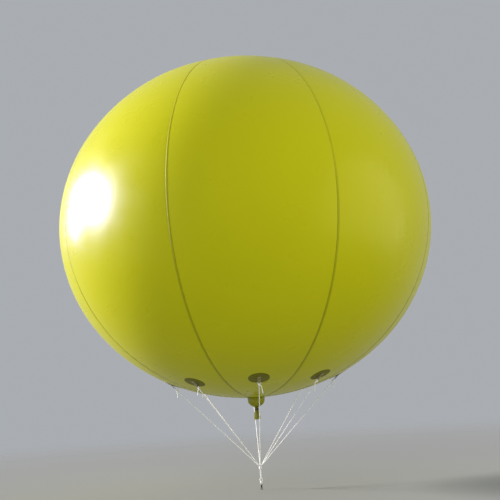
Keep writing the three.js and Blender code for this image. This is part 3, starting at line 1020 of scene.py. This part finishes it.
def neck_bowl():
    depth, radius, pleat = level_curve(BOWL_LEVELS, 72)
    phi = np.linspace(0, 2 * np.pi, 240, endpoint=False)
    wave = folded(phi, BOWL_PLEATS, 0.0, BOWL_DRIFT * depth / DRIFT_DEPTH)
    reach = radius * (1 + pleat * (wave - BOWL_BIAS))
    shape = Shape()
    shape.grid(about_axis(reach, phi, NECK_TOP - depth))
    return shape


def neck_tail():
    """The film below the tie, open at its lower end, where its hem is uneven."""
    depth, radius, pleat = level_curve(TAIL_LEVELS, 48)
    phi = np.linspace(0, 2 * np.pi, 180, endpoint=False)
    wave = folded(phi, TAIL_FOLDS, 0.4, TAIL_DRIFT * depth / DRIFT_DEPTH)
    reach = radius * (1 + pleat * (wave - TAIL_BIAS))
    hem = HEM_WAVE * np.sin(3 * phi + 0.6) + HEM_FOLD * wave[-1]
    drop = depth + hem * ((depth - depth[0]) / (depth[-1] - depth[0])) ** 2
    height = NECK_TOP - np.minimum(drop, TAIL_LENGTH)
    outer = about_axis(reach, phi, height)
    inner_reach = np.maximum(reach - TAIL_WALL, TAIL_INSIDE)
    inner = about_axis(inner_reach, phi, height)[TAIL_HOLLOW_ROW:][::-1]
    shape = Shape()
    shape.grid(np.concatenate([outer, inner]))
    return shape


TIE_CORD = {"radius": 0.0019, "sides": 12}
TIE_WRAP_RADIUS = 0.0139
TIE_PITCH = 0.0039
TIE_TURNS = 4.7
TIE_KNOT = {"radius": 0.0027, "pitch": 0.0034, "turns": 2.2, "start": 0.6}

# Two ends of the tie: the side they leave on, and how far they hang. Then steps of each end
# outwards from the neck and sideways, and the share of its length that it hangs
TIE_ENDS = ((-1, 0.034), (1, 0.042))
TIE_END_STEPS = [(0, 0, 0), (0.004, 0.003, 0), (0.006, 0.006, 0.4), (0.004, 0.007, 1)]


def neck_tie():
    """Wraps round the waist of the neck, a small knot on them and its two ends."""
    shape = Shape()
    wraps = coil((0, 0, TIE_Z), (0, 0, 1), TIE_WRAP_RADIUS, TIE_PITCH, TIE_TURNS, start=0.4)
    cord(shape, [wraps[0] * [0.85, 0.85, 1], *wraps], **TIE_CORD)
    knot = np.array([*wraps[-1][:2] * 1.16, TIE_Z + 0.002])
    outward = unit(knot * [1, 1, 0])
    sideways = np.cross(outward, [0, 0, 1])
    cord(shape, coil(knot, sideways, **TIE_KNOT), **TIE_CORD)
    for side, reach in TIE_ENDS:
        first = knot + sideways * side * 0.003
        end = [
            first + outward * out + sideways * side * across - [0, 0, reach * share]
            for out, across, share in TIE_END_STEPS
        ]
        cord(shape, smooth_curve(end, 8), **TIE_CORD)
    return shape


# Materials. The film is painted a little darker beside its seams, most of all near the lower
# pole: painted shade of the grooves there

FILM_DARK, FILM_LIGHT = (0.51, 0.513, 0.006, 1), (0.553, 0.554, 0.008, 1)
# Painted shade of the film in the grooves beside the seams
FILM_PAINTED_SEAM_SHADE = (0.26, 0.262, 0.0035, 1)
# Seam strip tones: the lower tone and the edge colour are painted shade
SEAM_HIGH, SEAM_PAINTED_SHADE_LOW = (0.496, 0.492, 0.006, 1), (0.365, 0.367, 0.0045, 1)
SEAM_PAINTED_EDGE_SHADE = (0.148, 0.149, 0.0035, 1)
SEAM_RIB = 0.003
# Patches and flange: a dark olive that paints the shade of these thick opaque sheets against the
# lit-through film
PATCH_SHADE_DARK, PATCH_SHADE_LIGHT = (0.131, 0.132, 0.0026, 1), (0.187, 0.185, 0.005, 1)
PATCH_RIBS, PATCH_RIM = 150.0, (0.060, 0.063)
CAP_DARK, CAP_LIGHT = (0.435, 0.426, 0.003, 1), (0.496, 0.484, 0.0035, 1)
CAP_RIBS, CAP_RIM = 280.0, (0.128, 0.131)
NECK_DARK, NECK_LIGHT = (0.261, 0.27, 0.013, 1), (0.365, 0.37, 0.026, 1)
WEB_DARK, WEB_LIGHT = (0.217, 0.196, 0.061, 1), (0.322, 0.291, 0.113, 1)
WARP_PITCH, WEFT_PITCH = 0.0022, 0.0016
THREAD_DARK, THREAD_LIGHT = (0.539, 0.496, 0.348, 1), (0.679, 0.635, 0.479, 1)
CORD_DARK, CORD_LIGHT = (0.955, 0.96, 0.965, 1), (0.985, 0.987, 0.99, 1)
# Painted shade of the braid's valleys
CORD_PAINTED_VALLEY_SHADE = (0.83, 0.835, 0.85, 1)
TIE_DARK, TIE_LIGHT = (0.045, 0.055, 0.014, 1), (0.085, 0.10, 0.03, 1)
# Painted shade of the tie braid's valleys
TIE_PAINTED_VALLEY_SHADE = (0.02, 0.025, 0.008, 1)
METAL_BLACK, METAL_WORN = (0.022, 0.021, 0.020, 1), (0.11, 0.105, 0.10, 1)


def painted_shade_below(surface, along):
    """Weight of the painted shade on and beside the seams: 1 near the lower pole, falling to 0.1
    towards the upper half.
    """
    return surface.remap(along, 1.2, 3.5, 1.0, 0.1)


def welded_rim(surface, count, rim):
    """Ribs across the welded rim of a round sheet, which starts between two radii."""
    radius, angle = surface.polar()
    return surface.math("MULTIPLY", surface.wave(angle, count), surface.remap(radius, *rim))


film = Surface("film", roughness=0.3, Specular_IOR_Level=0.22, Specular_Tint=(1, 0.95, 0.3, 1))
across, along = film.flat()
# Painted shade beside each seam, weighted towards the lower pole
painted_seam_shade = film.remap(across, 0.006, 0.014, 0.3, 0.0)
painted_seam_shade = film.math("MULTIPLY", painted_seam_shade, painted_shade_below(film, along))
film.color(film.blend(painted_seam_shade, film.mottle(1.4, 3.0, FILM_DARK, FILM_LIGHT), FILM_PAINTED_SEAM_SHADE))
film.roughness(film.remap(film.noise(5.0, 4.0), 0.3, 0.7, 0.27, 0.32))
film.bump((film.noise(300.0), 0.00003))

seam_tape = Surface(
    "seam_tape", roughness=0.34, Specular_IOR_Level=0.2, Specular_Tint=(1, 0.95, 0.4, 1)
)
across, along = seam_tape.flat()
low = painted_shade_below(seam_tape, along)
out = seam_tape.math("ABSOLUTE", across)
# Painted shade in a band along each edge of the strip, strongest near the lower pole
starts = seam_tape.remap(out, 0.0042, 0.0060)
ends = seam_tape.remap(out, 0.0061, 0.0068, 1.0, 0.0)
edge = seam_tape.math("MULTIPLY", starts, ends)
# Painted shade: the strip's tone darkens towards the lower pole
tone = seam_tape.blend(low, SEAM_HIGH, SEAM_PAINTED_SHADE_LOW)
seam_tape.color(seam_tape.blend(seam_tape.math("MULTIPLY", edge, low), tone, SEAM_PAINTED_EDGE_SHADE))
seam_tape.bump((seam_tape.wave(along, 2 * math.pi / SEAM_RIB), 0.00012))

patch_sheet = Surface(
    "patch_sheet", roughness=0.45, Specular_IOR_Level=0.2, Specular_Tint=(1, 1, 0.4, 1)
)
# Painted shade: the dark olive stands in for the shade on these opaque sheets
patch_sheet.color(patch_sheet.mottle(26.0, 4.0, PATCH_SHADE_DARK, PATCH_SHADE_LIGHT))
patch_rim = welded_rim(patch_sheet, PATCH_RIBS, PATCH_RIM)
patch_sheet.bump((patch_rim, 0.0002), (patch_sheet.noise(300.0), 0.0001))

cap_sheet = Surface(
    "cap_sheet", roughness=0.4, Specular_IOR_Level=0.2, Specular_Tint=(1, 0.95, 0.3, 1)
)
cap_sheet.color(cap_sheet.mottle(18.0, 4.0, CAP_DARK, CAP_LIGHT))
cap_rim = welded_rim(cap_sheet, CAP_RIBS, CAP_RIM)
cap_sheet.bump((cap_rim, 0.0001), (cap_sheet.noise(300.0), 0.00005))

neck_film = Surface(
    "neck_film", roughness=0.4, Specular_IOR_Level=0.3, Specular_Tint=(1, 1, 0.5, 1)
)
neck_film.color(neck_film.mottle(30.0, 4.0, NECK_DARK, NECK_LIGHT))
neck_film.bump((neck_film.noise(160.0, 3.0), 0.0002))

webbing = Surface("webbing", roughness=0.8)
x, y = webbing.flat()
warp = webbing.wave(x, 2 * math.pi / WARP_PITCH)
weft = webbing.wave(y, 2 * math.pi / WEFT_PITCH)
weave = webbing.remap(webbing.math("MULTIPLY", warp, weft), -1.0, 1.0)
webbing.color(webbing.blend(weave, WEB_DARK, WEB_LIGHT))
webbing.bump((weave, 0.0005))

thread = Surface("thread", roughness=0.7)
thread.color(thread.mottle(900.0, 2.0, THREAD_DARK, THREAD_LIGHT))

cord_white = Surface(
    "cord", roughness=0.75,
    Subsurface_Weight=0.25, Subsurface_Radius=(1, 1, 1), Subsurface_Scale=0.004,
)
height = cord_white.braid()
tone = cord_white.mottle(40.0, 4.0, CORD_DARK, CORD_LIGHT)
# Painted shade in the valleys between the braid's strands
cord_white.color(cord_white.blend(cord_white.remap(height, 0.0, 0.2), CORD_PAINTED_VALLEY_SHADE, tone))
cord_white.bump((height, 0.00022))

tie_cord = Surface("tie_cord", roughness=0.75)
height = tie_cord.braid()
tone = tie_cord.mottle(80.0, 4.0, TIE_DARK, TIE_LIGHT)
# Painted shade in the valleys between the tie braid's strands
tie_cord.color(tie_cord.blend(tie_cord.remap(height, 0.0, 0.4), TIE_PAINTED_VALLEY_SHADE, tone))
tie_cord.bump((height, 0.0006), (tie_cord.noise(1500.0, 3.0), 0.0004))

black_metal = Surface("black_metal", roughness=0.36, Metallic=0.85)
wear = black_metal.remap(black_metal.noise(620.0, 5.0, 0.65), 0.56, 0.70)
black_metal.color(black_metal.blend(wear, METAL_BLACK, METAL_WORN))
black_metal.roughness(black_metal.remap(black_metal.noise(240.0, 3.0), 0.3, 0.7, 0.28, 0.46))
black_metal.bump((black_metal.noise(900.0), 0.00004))


# Pieces

for number in range(1, GORE_COUNT + 1):
    turn = GORE_ANGLE * (number - 1)
    gore(number).piece(f"gore_panel_{number}", film, "film", [f"gore_{number}"])
    seam_strip(number).piece(f"seam_strip_{number}", seam_tape, "seam_tape", [f"seam_{number}"])
    sheet_disc(PATCH_ANGLE, PATCH_PROFILE).piece(
        f"welded_patch_{number}", patch_sheet, "patch_sheet", [f"load_patch_{number}"],
        sharp=40, turn=turn,
    )
    patch_tab().piece(
        f"tab_strap_{number}", webbing, "webbing", [f"patch_tab_{number}"], sharp=60, turn=turn
    )
    tab_stitching().piece(f"tab_stitching_{number}", thread, "webbing", turn=turn)
    bridle_line(number).piece(
        f"line_{number}", cord_white, "cord", [f"bridle_line_{number}"], turn=turn
    )

sheet_disc(math.pi, TOP_CAP_PROFILE, 144).piece("cap", cap_sheet, "film", ["top_cap"], sharp=40)
sheet_disc(0.0, FLANGE_PROFILE, 96).piece(
    "flange", patch_sheet, "patch_sheet", ["neck_flange"], sharp=40
)
neck_bowl().piece("pleated_bowl", neck_film, "patch_sheet", ["neck_bowl"])
neck_tie().piece("tie", tie_cord, "tie_cord", ["neck_tie"])
neck_tail().piece("open_tail", neck_film, "patch_sheet", ["neck_tail"], sharp=50)
bridle_knot().piece("whipping", cord_white, "cord", ["bridle_knot"])
strand_legs().piece("laid_strand", cord_white, "cord", ["bridle_strand", "strand_loop"])
end_knot().piece("end_knot_wraps", cord_white, "cord", ["end_knot"])
swivel_barrel().piece("barrel", black_metal, "black_metal", ["swivel_barrel"], sharp=35)
tether_eye().piece(
    "lower_eye", black_metal, "black_metal", ["tether_eye"], body="tether_swivel", sharp=35
)
